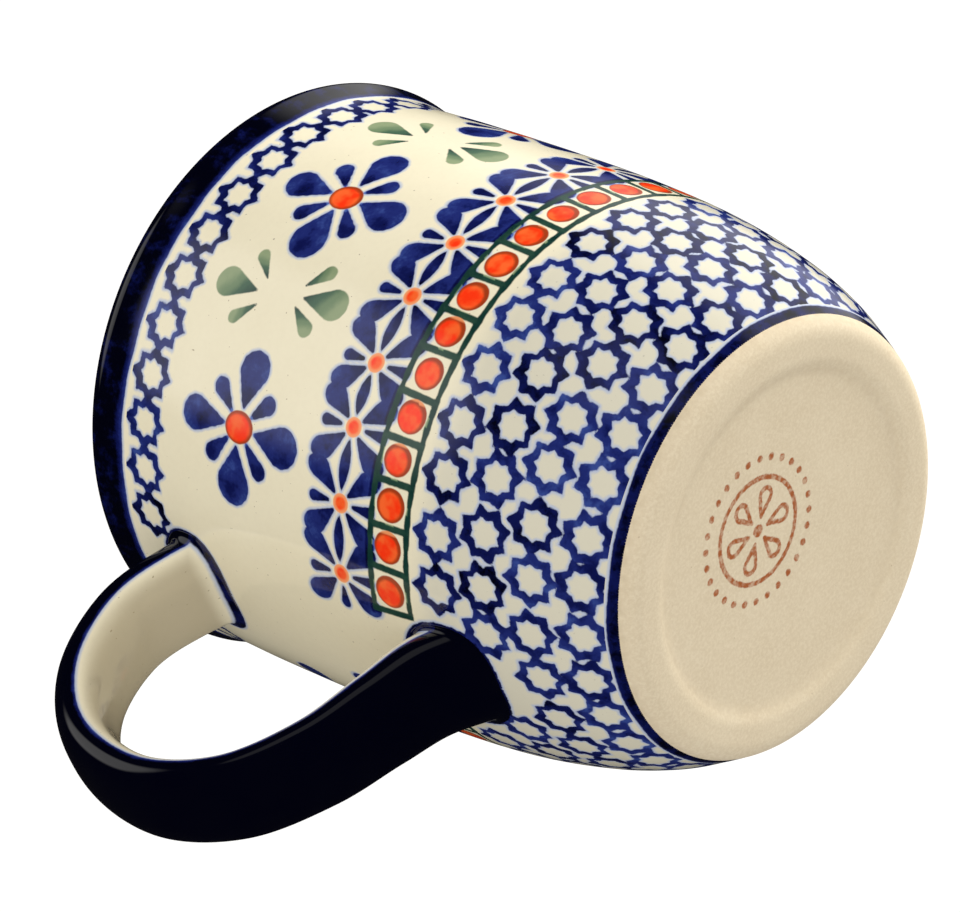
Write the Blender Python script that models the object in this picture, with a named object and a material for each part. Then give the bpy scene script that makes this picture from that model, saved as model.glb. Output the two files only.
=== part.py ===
"""A footed stoneware mug with a broad strap handle.

The mug stands on its foot ring with its axis on +Z and the origin on that axis, level with
the ground. The handle points towards -X. Every layer that the potter puts on is a piece of
its own: the fired body, the strap, the slip that lutes the strap on, and each glaze coat.
"""
import math

import bmesh
import bpy

MM = 0.001

# Driving sizes, in millimetres.
HEIGHT = 95.0
FOOT_RING_INNER = 24.7
FOOT_RING_OUTER = 28.6
FOOT_CORNER_HEIGHT = 1.5
RECESS_DEPTH = 0.8
RECESS_BEVEL = 0.9
COAT = 0.5
GAP = 0.3
LINE_LOW = 1.9
LINE_HIGH = 3.3
RIM_BAND_LOW = 88.3
RIM_BAND_INSIDE_LOW = 90.4
LIP_HALF_WIDTH = 2.3
LIP_HALF_HEIGHT = 2.6
SEGMENTS = 48

# The outside of the wall as (height, radius), from the foot's corner to the lip.
WALL = [(1.5, 31.2), (4.8, 33.0), (9.5, 35.3), (17.0, 37.75), (28.0, 39.95), (42.0, 41.2),
        (58.0, 41.7), (74.0, 41.8), (83.5, 41.65), (88.0, 41.9), (92.4, 42.9)]

# The inside of the cup as (radius, height), from the lip to the middle of the floor.
CAVITY = [(38.7, 92.4), (37.3, 86.0), (37.1, 72.0), (37.0, 55.0), (36.1, 38.0), (33.6, 23.0),
          (28.2, 12.6), (20.0, 8.2), (10.0, 7.2), (0.0, 7.0)]

# The strap's middle line as (distance from the axis, height), from the upper joint to the lower.
STRAP = [(34.0, 71.8), (44.0, 77.8), (54.0, 80.3), (65.5, 76.4), (73.6, 66.9), (75.5, 53.6),
         (70.3, 42.2), (60.4, 35.3), (50.4, 32.2), (42.0, 29.6), (34.0, 23.4)]
# Half width and half thickness of the strap at its start, two inner places and its end.
STRAP_HALF_WIDTH = [8.1, 7.4, 7.5, 8.6]
STRAP_HALF_THICKNESS = [4.2, 3.7, 3.0, 5.0]
STRAP_SECTIONS = 34
STRAP_SIDES = 16
STRAP_SQUARENESS = 2.5
COAT_STEPS = 8
SLIP_REACH = 3.6
SLIP_FLARE = 1.1
SLIP_SECTIONS = 7


def clear_scene():
    """Remove whatever the scene starts with."""
    for old in list(bpy.data.objects):
        bpy.data.objects.remove(old, do_unlink=True)


def material(name, colour, roughness):
    """A Principled material with one colour and roughness."""
    made = bpy.data.materials.new(name)
    made.use_nodes = True
    shader = made.node_tree.nodes["Principled BSDF"]
    shader.inputs["Base Color"].default_value = (*colour, 1.0)
    shader.inputs["Roughness"].default_value = roughness
    shader.inputs["Metallic"].default_value = 0.0
    return made


def curve_point(points, place):
    """A point of the smooth curve through the points; place runs from 0 to 1 along the list."""
    spans = len(points) - 1
    index = min(int(place * spans), spans - 1)
    t = place * spans - index
    before = points[max(index - 1, 0)]
    start, end = points[index], points[index + 1]
    after = points[min(index + 2, spans)]
    result = []
    for a, b, c, d in zip(before, start, end, after):
        slope_b = (c - a) / 2
        slope_c = (d - b) / 2
        bulge = (2 * t**3 - 3 * t**2 + 1) * b + (t**3 - 2 * t**2 + t) * slope_b
        result.append(bulge + (3 * t**2 - 2 * t**3) * c + (t**3 - t**2) * slope_c)
    return tuple(result)


def wall_radius(height):
    """The finished outside radius at a height, found by halving along the wall's curve."""
    low, high = 0.0, 1.0
    for _ in range(30):
        middle = (low + high) / 2
        if curve_point(WALL, middle)[0] < height:
            low = middle
        else:
            high = middle
    return curve_point(WALL, (low + high) / 2)[1]


def wall_line(low, high, count):
    """Points (radius, height) up the outside of the wall."""
    heights = [low + (high - low) * i / (count - 1) for i in range(count)]
    return [(wall_radius(height), height) for height in heights]


def lip_line(count):
    """Points over the rounded lip, from the outside of the wall to the inside."""
    centre_radius = WALL[-1][1] - LIP_HALF_WIDTH
    centre_height = HEIGHT - LIP_HALF_HEIGHT
    angles = [math.pi * i / (count - 1) for i in range(count)]
    return [(centre_radius + LIP_HALF_WIDTH * math.cos(a),
             centre_height + LIP_HALF_HEIGHT * math.sin(a)) for a in angles]


def cavity_height_place(height):
    """The place along the cavity's curve where it passes a height."""
    low, high = 0.0, 1.0
    for _ in range(30):
        middle = (low + high) / 2
        if curve_point(CAVITY, middle)[1] > height:
            low = middle
        else:
            high = middle
    return (low + high) / 2


def cavity_line(top, count):
    """Points down the inside of the cup from a height to the middle of the floor."""
    first = cavity_height_place(top)
    places = [first + (1 - first) * i / (count - 1) for i in range(count)]
    line = [curve_point(CAVITY, place) for place in places]
    line[-1] = (0.0, CAVITY[-1][1])
    return line


def inset(line, depth):
    """The same line moved to its left-hand side by a depth; the first and last keep their ends."""
    moved = []
    for i, (radius, height) in enumerate(line):
        before = line[max(i - 1, 0)]
        after = line[min(i + 1, len(line) - 1)]
        run, rise = after[0] - before[0], after[1] - before[1]
        length = math.hypot(run, rise)
        moved.append((max(radius - rise / length * depth, 0.0), height + run / length * depth))
    if line[-1][0] == 0.0:
        moved[-1] = (0.0, line[-1][1] - depth)
    return moved


def new_object(name, mesh, look):
    """An object of its own, shaded smooth with its real edges kept sharp."""
    made = bpy.data.objects.new(name, mesh)
    bpy.context.scene.collection.objects.link(made)
    mesh.materials.append(look)
    mesh.shade_smooth()
    mesh.set_sharp_from_angle(angle=math.radians(35))
    return made


def turned(name, outline, look):
    """A solid of revolution from a closed outline of (radius, height)."""
    form = bmesh.new()
    rings = []
    for radius, height in outline:
        if radius < 1e-6:
            rings.append([form.verts.new((0, 0, height * MM))])
            continue
        ring = []
        for i in range(SEGMENTS):
            turn = 2 * math.pi * i / SEGMENTS
            spot = (radius * math.cos(turn) * MM, radius * math.sin(turn) * MM, height * MM)
            ring.append(form.verts.new(spot))
        rings.append(ring)
    for here, there in zip(rings, rings[1:] + rings[:1]):
        if len(here) == 1 and len(there) == 1:
            continue
        for i in range(SEGMENTS):
            j = (i + 1) % SEGMENTS
            corners = [here[i % len(here)], here[j % len(here)],
                       there[j % len(there)], there[i % len(there)]]
            form.faces.new(list(dict.fromkeys(corners)))
    bmesh.ops.recalc_face_normals(form, faces=form.faces)
    mesh = bpy.data.meshes.new(name)
    form.to_mesh(mesh)
    form.free()
    return new_object(name, mesh, look)


def lofted(name, sections, look):
    """A closed solid through a row of loops that have the same number of points."""
    form = bmesh.new()
    loops = [[form.verts.new([c * MM for c in spot]) for spot in loop] for loop in sections]
    count = len(loops[0])
    for here, there in zip(loops, loops[1:]):
        for i in range(count):
            j = (i + 1) % count
            form.faces.new([here[i], here[j], there[j], there[i]])
    form.faces.new(loops[0])
    form.faces.new(loops[-1])
    bmesh.ops.recalc_face_normals(form, faces=form.faces)
    mesh = bpy.data.meshes.new(name)
    form.to_mesh(mesh)
    form.free()
    return new_object(name, mesh, look)


def cut(piece, cutter):
    """Cut a piece by a cutter, which stays hidden."""
    step = piece.modifiers.new("cut_by_" + cutter.name, "BOOLEAN")
    step.operation = "DIFFERENCE"
    step.solver = "EXACT"
    step.object = cutter
    cutter.hide_render = True
    cutter.display_type = "WIRE"


def eased(values, place):
    """A smooth value between a list of values spread evenly from place 0 to place 1."""
    return curve_point([(v,) for v in values], place)[0]


def strap_frame(place):
    """The strap's middle and its outward direction, in the plane of the handle."""
    step = 0.002
    ahead = curve_point(STRAP, min(place + step, 1.0))
    behind = curve_point(STRAP, max(place - step, 0.0))
    run, rise = ahead[0] - behind[0], ahead[1] - behind[1]
    length = math.hypot(run, rise)
    return curve_point(STRAP, place), (-rise / length, run / length)


def strap_spot(place, angle, grow):
    """A point of the strap's oval section; angle 90 degrees faces away from the finger loop."""
    (reach, height), (out, up) = strap_frame(place)
    across = abs(math.cos(angle)) ** (2 / STRAP_SQUARENESS) * (eased(STRAP_HALF_WIDTH, place) + grow)
    depth = abs(math.sin(angle)) ** (2 / STRAP_SQUARENESS)
    depth *= eased(STRAP_HALF_THICKNESS, place) + grow
    across = math.copysign(across, math.cos(angle))
    depth = math.copysign(depth, math.sin(angle))
    return (-(reach + out * depth), across, height + up * depth)


def strap_loop(place, grow):
    """One whole section of the strap."""
    turns = [2 * math.pi * i / STRAP_SIDES for i in range(STRAP_SIDES)]
    return [strap_spot(place, turn, grow) for turn in turns]


def strap_solid(name, grow, look):
    """The whole strap, made thicker or thinner all round by grow."""
    places = [i / (STRAP_SECTIONS - 1) for i in range(STRAP_SECTIONS)]
    return lofted(name, [strap_loop(place, grow) for place in places], look)


def strap_coat(name, first, last, look):
    """A glaze coat over one face of the strap, between two angles of its section."""
    angles = [first + (last - first) * i / COAT_STEPS for i in range(COAT_STEPS + 1)]
    sections = []
    for i in range(STRAP_SECTIONS):
        place = i / (STRAP_SECTIONS - 1)
        outside = [strap_spot(place, angle, 0.0) for angle in angles]
        inside = [strap_spot(place, angle, -COAT) for angle in reversed(angles)]
        sections.append(outside + inside)
    return lofted(name, sections, look)


def joint_place(upper):
    """The place along the strap where its middle line leaves the wall's surface."""
    places = [i / 400 for i in range(401)]
    if not upper:
        places.reverse()
    for place in places:
        reach, height = curve_point(STRAP, place)
        if reach > wall_radius(height):
            return place
    return places[-1]


def strap_length():
    """The length of the strap's middle line."""
    spots = [curve_point(STRAP, i / 200) for i in range(201)]
    return sum(math.dist(a, b) for a, b in zip(spots, spots[1:]))


def joint_slip(name, upper, look):
    """The slip smoothed round a joint: widest on the wall and thinning out along the strap."""
    joint = joint_place(upper)
    reach = SLIP_REACH / strap_length()
    outward = 1 if upper else -1
    sections = []
    for i in range(SLIP_SECTIONS):
        share = i / (SLIP_SECTIONS - 1)
        place = joint + outward * reach * (1.9 * share - 0.9)
        flare = GAP + 0.35 + SLIP_FLARE * (1 - share) ** 2
        sections.append(strap_loop(min(max(place, 0.0), 1.0), flare))
    return lofted(name, sections, look)


def make_body(look):
    """The fired stoneware: foot ring, recessed base, wall, lip and floor in one piece."""
    depth = COAT + GAP
    corner_width = WALL[0][1] - FOOT_RING_OUTER
    corner = [(FOOT_RING_OUTER + corner_width * math.sin(a),
               FOOT_CORNER_HEIGHT * (1 - math.cos(a)))
              for a in [math.pi / 2 * i / 4 for i in range(5)]]
    wall = inset(wall_line(LINE_LOW - GAP, HEIGHT - LIP_HALF_HEIGHT, 14), depth)
    lip = inset(lip_line(7), depth)
    cavity = inset(cavity_line(RIM_BAND_INSIDE_LOW, 12), depth)
    foot_edge = (wall_radius(LINE_LOW - GAP), LINE_LOW - GAP)
    base = [(0.0, RECESS_DEPTH), (FOOT_RING_INNER - RECESS_BEVEL, RECESS_DEPTH),
            (FOOT_RING_INNER, 0.0)]
    return turned("stoneware_body", base + corner + [foot_edge] + wall + lip[1:-1] + cavity, look)


def make_shell(name, outside, look):
    """A coat of glaze whose finished surface is the line given."""
    return turned(name, outside + list(reversed(inset(outside, COAT))), look)


def make_liner(look):
    """The clear glaze inside the cup, down the wall and over the floor."""
    outside = cavity_line(RIM_BAND_INSIDE_LOW - GAP, 12)
    return turned("inside_glaze", outside + list(reversed(inset(outside, COAT))), look)


def make_rim_band(look):
    """The cobalt band that wraps the lip, outside and in."""
    outside = wall_line(RIM_BAND_LOW, HEIGHT - LIP_HALF_HEIGHT, 3)[:-1] + lip_line(9)
    inside_low = curve_point(CAVITY, cavity_height_place(RIM_BAND_INSIDE_LOW))
    return make_shell("rim_cobalt_band", outside + [inside_low], look)


def envelope(name, grow, look):
    """The wall's outside moved outwards by grow, as a solid drum to cut with."""
    line = [(radius + grow, height) for radius, height in wall_line(2.0, 92.0, 19)]
    return turned(name, [(0.0, 2.0)] + line + [(0.0, 92.0)], look)


def main():
    clear_scene()
    clay = material("stoneware_clay", (0.72, 0.62, 0.47), 0.85)
    clear = material("clear_glaze", (0.80, 0.75, 0.62), 0.12)
    cobalt = material("cobalt_glaze", (0.006, 0.008, 0.055), 0.10)
    slip = material("joint_slip", (0.76, 0.70, 0.57), 0.2)
    hidden = material("guide", (0.5, 0.5, 0.5), 0.5)

    make_body(clay)
    make_shell("foot_cobalt_line", wall_line(LINE_LOW, LINE_HIGH, 2), cobalt)
    outside_glaze = make_shell("outside_glaze", wall_line(LINE_HIGH + GAP, RIM_BAND_LOW - GAP, 13), clear)
    make_liner(clear)
    make_rim_band(cobalt)

    clay_drum = envelope("clay_drum", GAP - COAT - GAP, hidden)
    glazed_drum = envelope("glazed_drum", GAP, hidden)
    strap_hole = strap_solid("strap_hole", -COAT, hidden)
    strap_sleeve = strap_solid("strap_sleeve", GAP, hidden)

    strap = strap_solid("strap_handle", -COAT - GAP, clay)
    cut(strap, clay_drum)
    cut(outside_glaze, strap_hole)
    edge = math.asin(GAP / 2 / STRAP_HALF_THICKNESS[1]) + 0.02
    cobalt_coat = strap_coat("handle_cobalt_coat", edge, math.pi - edge, cobalt)
    cream_coat = strap_coat("handle_clear_coat", math.pi + edge, 2 * math.pi - edge, clear)
    cut(cobalt_coat, glazed_drum)
    cut(cream_coat, glazed_drum)
    for name, upper in (("upper_joint_slip", True), ("lower_joint_slip", False)):
        collar = joint_slip(name, upper, slip)
        cut(collar, strap_sleeve)
        cut(collar, glazed_drum)


main()
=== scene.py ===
import math

import bpy
import numpy as np
from mathutils import Matrix, Vector


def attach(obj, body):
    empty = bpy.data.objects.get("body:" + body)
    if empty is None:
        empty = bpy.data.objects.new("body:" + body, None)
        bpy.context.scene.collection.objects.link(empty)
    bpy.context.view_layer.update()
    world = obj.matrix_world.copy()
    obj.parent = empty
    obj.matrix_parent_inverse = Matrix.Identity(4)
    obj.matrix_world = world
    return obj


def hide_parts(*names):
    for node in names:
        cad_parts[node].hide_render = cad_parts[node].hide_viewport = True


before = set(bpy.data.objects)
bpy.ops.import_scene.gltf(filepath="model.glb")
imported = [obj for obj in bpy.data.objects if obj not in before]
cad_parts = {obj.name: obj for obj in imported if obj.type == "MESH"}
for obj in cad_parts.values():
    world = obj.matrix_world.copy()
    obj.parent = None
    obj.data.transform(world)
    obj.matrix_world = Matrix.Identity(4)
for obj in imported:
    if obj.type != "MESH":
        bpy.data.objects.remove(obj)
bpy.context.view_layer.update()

# The mug stands on z = 0, its axis on +Z and its handle towards -X. Shapes are in millimetres
# until a mesh is made. Places round the wall are degrees from the handle, growing to the right as
# the wall is looked at from outside.
MM = 0.001

# ---- the turned form ----
HEIGHT = 95.0
LIP_HALF_WIDTH = 2.3
LIP_HALF_HEIGHT = 2.6
RECESS = 0.8
COAT = 0.3
# How far the clay lies under the glaze's skin, and the nearest that its rows come to the axis.
CORE_DEPTH = 0.25
AXIS_GAP = 0.3

# How finely the meshes are cut.
COLUMNS = 936
FOOT_COLUMNS = 512
CORE_COLUMNS = 256
ROW_STEP = 0.31
BACK_STEP = 20
WALL_POINTS = 4001
CAVITY_POINTS = 2001
LINE_POINTS = 400
LIP_POINTS = 90
SHARP_ANGLE = 50.0

# The outside of the wall as (height, radius) and the inside of the cup as (radius, height).
WALL = [(1.5, 31.2), (4.8, 33.0), (9.5, 35.3), (17.0, 37.75), (28.0, 39.95), (42.0, 41.2),
        (58.0, 41.7), (74.0, 41.8), (83.5, 41.65), (88.0, 41.9), (92.4, 42.9)]
CAVITY = [(38.3, 92.4), (37.3, 86.0), (37.1, 72.0), (37.0, 55.0), (36.1, 38.0), (33.6, 23.0),
          (28.2, 12.6), (20.0, 8.2), (10.0, 7.2), (0.4, 7.0)]
# The bare foot as (radius, height), from the middle of the base to the glaze's lower edge.
BASE_DISC = 22.6
FOOT = [(BASE_DISC, RECESS), (23.4, 0.76), (24.2, 0.58), (24.9, 0.30), (25.6, 0.08), (26.4, 0.0),
        (27.8, 0.0), (29.0, 0.08), (30.0, 0.42), (30.8, 1.0), (31.2, 1.5)]

# Heights where zones of the wall meet.
FOOT_TOP = 4.0
FOOT_LINE_LOW = 1.9
FOOT_LINE_HIGH = 3.3
FOOT_LINE_END = 3.6
STARS_END = 31.4
LADDER_END = 39.3
GARLAND_END = 51.6
FLOWERS_END = 79.2
RIM_PIECE_LOW = 87.5
RIM_BAND_LOW = 88.2
RIM_INSIDE_LOW = 90.6
RIM_INSIDE_END = 89.6

# ---- the strap ----
STRAP = [(34.0, 71.8), (44.0, 77.8), (54.0, 80.3), (65.5, 76.4), (73.6, 66.9), (75.5, 53.6),
         (70.3, 42.2), (60.4, 35.3), (50.4, 32.2), (42.0, 29.6), (34.0, 23.4)]
STRAP_HALF_WIDTH = [8.1, 7.4, 7.5, 8.6]
STRAP_HALF_THICKNESS = [4.2, 3.65, 2.95, 5.0]
STRAP_SQUARENESS = 2.4
STRAP_ROWS = 240
STRAP_COLUMNS = 144
FILLET_ROWS = 14
UPPER_FILLET = 1.3
LOWER_FILLET = 0.9
STRAP_POINTS = 1000
MEET_POINTS = 1500
# How far the cobalt reaches inwards of the strap's middle line, and off the wall at a joint.
COBALT_EDGE = 0.9
JOINT_COBALT = 0.4
# The degrees of the strap's inner half that belong to the cobalt coat at each side.
CLEAR_SPLIT = 24.0

# ---- the painted pattern ----
# FAR stands where no mark is near. A mark sets the tone up to TONE_REACH outside its edge.
FAR = 9.0
TONE_REACH = 0.35
STAR_POINT = 3.95
STAR_NOTCH = 2.95
HOLE_POINT = 2.55
HOLE_NOTCH = 1.95
STAR_STRAY = 0.55
STAR_TILT = 4.0
STAR_LIFT = 0.2
STAR_SPREAD = 5.5
# Each star row: height, first and last place in degrees, number of stars, turn in degrees.
RIM_STARS = (83.7, 14.0, 346.0, 35, 0.0)
FIELD_STARS = [(27.3, 21.9, 338.0, 29, 0.0), (20.0, 14.0, 346.0, 31, 20.0),
               (13.2, 4.5, 352.5, 30, 3.0), (6.4, 5.0, 353.0, 30, 22.0)]
FLOWER_PLACES = [39.5, 89.5, 137.0, 184.0, 231.0, 278.0, 325.5]
FLOWER_HEIGHTS = [64.8, 66.2, 65.4, 65.8, 65.0, 66.0, 65.2]
# A flower's petals: direction, start, end and half width of the round end.
FLOWER_PETALS = [(91, 2.7, 11.3, 2.55), (-4, 2.7, 11.1, 2.75), (265.5, 2.9, 11.6, 2.95),
                 (178.5, 2.6, 11.4, 3.1), (45, 2.4, 8.0, 1.4), (135, 2.4, 8.0, 1.4),
                 (222, 2.4, 8.3, 1.4), (312, 2.4, 7.8, 1.4)]
# Where the pigment pools in them: direction and distance from the middle.
FLOWER_POOLS = [(98, 7.6), (-6, 4.0), (257, 9.2), (176, 9.3), (42, 4.2), (137, 6.7), (222, 7.0),
                (314, 4.4)]
FLOWER_SPREAD = 14.0
# A sprig's leaves: tip, direction, length and half width of the round end.
SPRIG_LEAVES = [(-0.3, 4.0, 91, 8.1, 2.3), (-2.1, 3.0, 131, 5.2, 1.05), (1.7, 3.4, 44, 5.2, 1.05),
                (0.9, -4.2, 275, 8.2, 2.4), (-0.6, -3.6, 235, 5.6, 1.25), (2.5, -3.5, 316, 5.3, 1.2)]
SPRIG_SPREAD = 13.5
SPRIG_SHIFT = 0.8
# The garland and the ladder: first and last place, and the number of flowers or cells.
GARLAND = (19.0, 341.0, 24)
GARLAND_HEIGHT = 44.2
GARLAND_RADIUS = 41.2
GARLAND_SPREAD = 9.5
GARLAND_RISE = 4.15
GARLAND_INSET = 1.15
GARLAND_END_GAP = 5.0
LADDER = (13.5, 346.5, 38)
LADDER_LOW = 31.8
LADDER_HIGH = 39.0
RAIL_INSET = 0.45
RAIL_HALF = 0.5
BAR_HALF = 0.55
BAR_REACH = 3.7
BAR_SPREAD = 5.5
DOT_SPREAD = 4.0
DOT_RADIUS = 2.38
DOT_EDGE = 0.5
# The line round a joint's foot, and how far aside and up and down to look for it.
JOINT_LINE_HALF = 0.42
JOINT_SIDES = 24.0
JOINT_MARGIN = 4.0
# The potter's mark on the base.
MARK_CENTRE = (-3.4, -5.2)
MARK_RING = 7.6
MARK_RING_HALF = 0.38
MARK_PETALS = 6
MARK_STROKE = 0.36
MARK_EYE = 0.95
MARK_DOTS = 28
MARK_DOT_RING = 10.4
MARK_DOT_RADIUS = 0.55


def smooth_curve(points, places):
    """Points of the smooth curve through a list of points; places run from 0 to 1 along it."""
    points = np.asarray(points, float)
    if points.ndim == 1:
        points = points[:, None]
    spans = len(points) - 1
    index = np.clip((places * spans).astype(int), 0, spans - 1)
    t = (places * spans - index)[..., None]
    before = points[np.maximum(index - 1, 0)]
    start, end = points[index], points[index + 1]
    after = points[np.minimum(index + 2, spans)]
    slope_start, slope_end = (end - before) / 2, (after - start) / 2
    rise = (2 * t**3 - 3 * t**2 + 1) * start + (t**3 - 2 * t**2 + t) * slope_start
    return rise + (3 * t**2 - 2 * t**3) * end + (t**3 - t**2) * slope_end


WALL_TRACE = smooth_curve(WALL, np.linspace(0, 1, WALL_POINTS))
WALL_RUN = np.concatenate([[0], np.cumsum(np.hypot(*np.diff(WALL_TRACE, axis=0).T))])


def wall_radius(height):
    """The outside radius at a height."""
    return np.interp(height, WALL_TRACE[:, 0], WALL_TRACE[:, 1])


def wall_run(height):
    """The distance measured up the wall's surface to a height."""
    return np.interp(height, WALL_TRACE[:, 0], WALL_RUN)


def wall_spot(place, height, out):
    """A point that far off the outside of the wall."""
    turn = np.radians(place)
    radius = wall_radius(height) + out
    return np.stack([-radius * np.cos(turn), -radius * np.sin(turn), height + 0 * turn], -1)


# ---- meshes ----
def placed(name, data):
    """A new object in the scene."""
    made = bpy.data.objects.new(name, data)
    bpy.context.scene.collection.objects.link(made)
    return made


def closed_grid(name, points, ring, look, node, fields=None, normals=None):
    """A closed solid from a grid whose columns run all the way round.

    A ring's last row joins its first; any other grid is closed by a fan at each end. The fields
    hold a value per point for the material.
    """
    rows, cols = points.shape[:2]
    here = np.arange(rows if ring else rows - 1)
    row, col = np.meshgrid(here, np.arange(cols), indexing="ij")
    below, beside = (row + 1) % rows, (col + 1) % cols
    quads = np.stack([row * cols + col, row * cols + beside,
                      below * cols + beside, below * cols + col], -1).reshape(-1, 4)
    spots = points.reshape(-1, 3)
    fans = np.zeros((0, 3), int)
    if not ring:
        tip = len(spots)
        spots = np.vstack([spots, points[0].mean(0), points[-1].mean(0)])
        now, then = np.arange(cols), (np.arange(cols) + 1) % cols
        last = (rows - 1) * cols
        fans = np.vstack([np.stack([then, now, 0 * now + tip], -1),
                          np.stack([last + now, last + then, 0 * now + tip + 1], -1)])
    a, b, c, d = (spots[quads[:, i]] for i in range(4))
    if (a * np.cross(b, c)).sum() + (a * np.cross(c, d)).sum() < 0:
        quads, fans = quads[:, ::-1], fans[:, ::-1]
    corners = np.concatenate([quads.ravel(), fans.ravel()]).astype(np.int32)
    starts = np.concatenate([np.arange(len(quads)) * 4, 4 * len(quads) + np.arange(len(fans)) * 3])
    mesh = bpy.data.meshes.new(name)
    mesh.vertices.add(len(spots))
    mesh.vertices.foreach_set("co", (spots * MM).astype(np.float32).ravel())
    mesh.loops.add(len(corners))
    mesh.loops.foreach_set("vertex_index", corners)
    mesh.polygons.add(len(starts))
    mesh.polygons.foreach_set("loop_start", starts.astype(np.int32))
    mesh.update(calc_edges=True)
    mesh.validate()
    mesh.shade_smooth()
    if normals is None:
        mesh.set_sharp_from_angle(angle=math.radians(SHARP_ANGLE))
    for field, values in (fields or {}).items():
        values = values.reshape(-1)
        spare = len(spots) - len(values)
        store = mesh.attributes.new(field, "FLOAT", "POINT")
        store.data.foreach_set("value", np.append(values, values[-1:].repeat(spare)).astype(np.float32))
    if normals is not None:
        spare = len(spots) - normals.size // 3
        normals = np.vstack([normals.reshape(-1, 3), np.zeros((spare, 3))])
        mesh.normals_split_custom_set_from_vertices(normals.tolist())
    mesh.materials.append(look)
    made = placed(name, mesh)
    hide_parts(node)
    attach(made, "root")


def turned_grid(outline, places):
    """A grid of points from an outline of (radius, height) and places round the axis."""
    radius, height = np.asarray(outline).T
    turn = np.radians(places)
    return np.stack([-radius[:, None] * np.cos(turn), -radius[:, None] * np.sin(turn),
                     height[:, None] + 0 * turn], -1)


def round_places(count):
    """Places in degrees evenly spread round the axis, starting at the handle."""
    return np.arange(count) * 360.0 / count


def resampled(line, step):
    """The same line with points about a step apart."""
    line = np.asarray(line, float)
    run = np.concatenate([[0], np.cumsum(np.hypot(*np.diff(line, axis=0).T))])
    count = max(int(round(run[-1] / step)), 1)
    at = np.linspace(0, run[-1], count + 1)
    return np.stack([np.interp(at, run, line[:, 0]), np.interp(at, run, line[:, 1])], -1)


def backed(line, depth):
    """The line moved to its left-hand side by a depth."""
    along = np.gradient(line, axis=0)
    along /= np.hypot(*along.T)[:, None]
    return line + np.stack([-along[:, 1], along[:, 0]], -1) * depth


def wall_line(low, high):
    """The outside of the wall between two heights, as (radius, height)."""
    heights = np.linspace(low, high, LINE_POINTS)
    return resampled(np.stack([wall_radius(heights), heights], -1), ROW_STEP)


def lip_centre():
    """The middle of the rounded lip, as (radius, height)."""
    return np.array([WALL[-1][1] - LIP_HALF_WIDTH, HEIGHT - LIP_HALF_HEIGHT])


def lip_line():
    """The rounded lip from the outside of the wall to the inside."""
    angles = np.linspace(0, math.pi, LIP_POINTS)
    radius, height = lip_centre()
    return np.stack([radius + LIP_HALF_WIDTH * np.cos(angles), height + LIP_HALF_HEIGHT * np.sin(angles)], -1)


def cavity_line(top, step):
    """The inside of the cup from a height down to the middle of its floor."""
    trace = smooth_curve(CAVITY, np.linspace(0, 1, CAVITY_POINTS))
    return resampled(trace[trace[:, 1] <= top], step)


# ---- shapes of the pattern, as distances from their edges, negative inside ----
def star(x, y, turn, point, notch):
    """An eight-pointed star."""
    sector = math.pi / 4
    folded = np.abs((np.arctan2(y, x) - turn + sector / 2) % sector - sector / 2)
    radius = np.hypot(x, y)
    px, py = radius * np.cos(folded) - point, radius * np.sin(folded)
    edge_x, edge_y = notch * math.cos(sector / 2) - point, notch * math.sin(sector / 2)
    length = math.hypot(edge_x, edge_y)
    along = np.clip((px * edge_x + py * edge_y) / length**2, 0, 1)
    distance = np.hypot(px - along * edge_x, py - along * edge_y)
    return np.where(px * edge_y - py * edge_x < 0, -distance, distance)


def star_ring(x, y, turn):
    """The outline of a star, as a sponge stamp leaves it."""
    outer = star(x, y, turn, STAR_POINT, STAR_NOTCH)
    return np.maximum(outer, -star(x, y, turn, HOLE_POINT, HOLE_NOTCH))


def drop(x, y, direction, start, end, small, big):
    """A teardrop petal: pointed at its start, round at its end, both measured from the middle."""
    angle = math.radians(direction)
    along = x * math.cos(angle) + y * math.sin(angle) - (start + small)
    across = np.abs(-x * math.sin(angle) + y * math.cos(angle))
    length = (end - big) - (start + small)
    lean = (small - big) / length
    upright = math.sqrt(1 - lean**2)
    level = -lean * across + upright * along
    sides = upright * across + lean * along - small
    near = np.hypot(across, along) - small
    far = np.hypot(across, along - length) - big
    return np.where(level < 0, near, np.where(level > upright * length, far, sides))


def lens(x, y, half_length, half_width):
    """A leaf pointed at both ends that lies along x."""
    bow = half_width * (1 - (x / half_length) ** 2)
    return np.maximum(np.abs(y) - bow, np.abs(x) - half_length)


def disc(x, y, half_width, half_height):
    """A dab that is nearly round."""
    return (np.hypot(x / half_width, y / half_height) - 1) * min(half_width, half_height)


def wandering(first, last, count, stray, seed):
    """Places from first to last, each off by up to stray, as hand stamping leaves them."""
    marks = np.linspace(first, last, count)
    return marks + np.random.RandomState(seed).uniform(-stray, stray, count)


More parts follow.
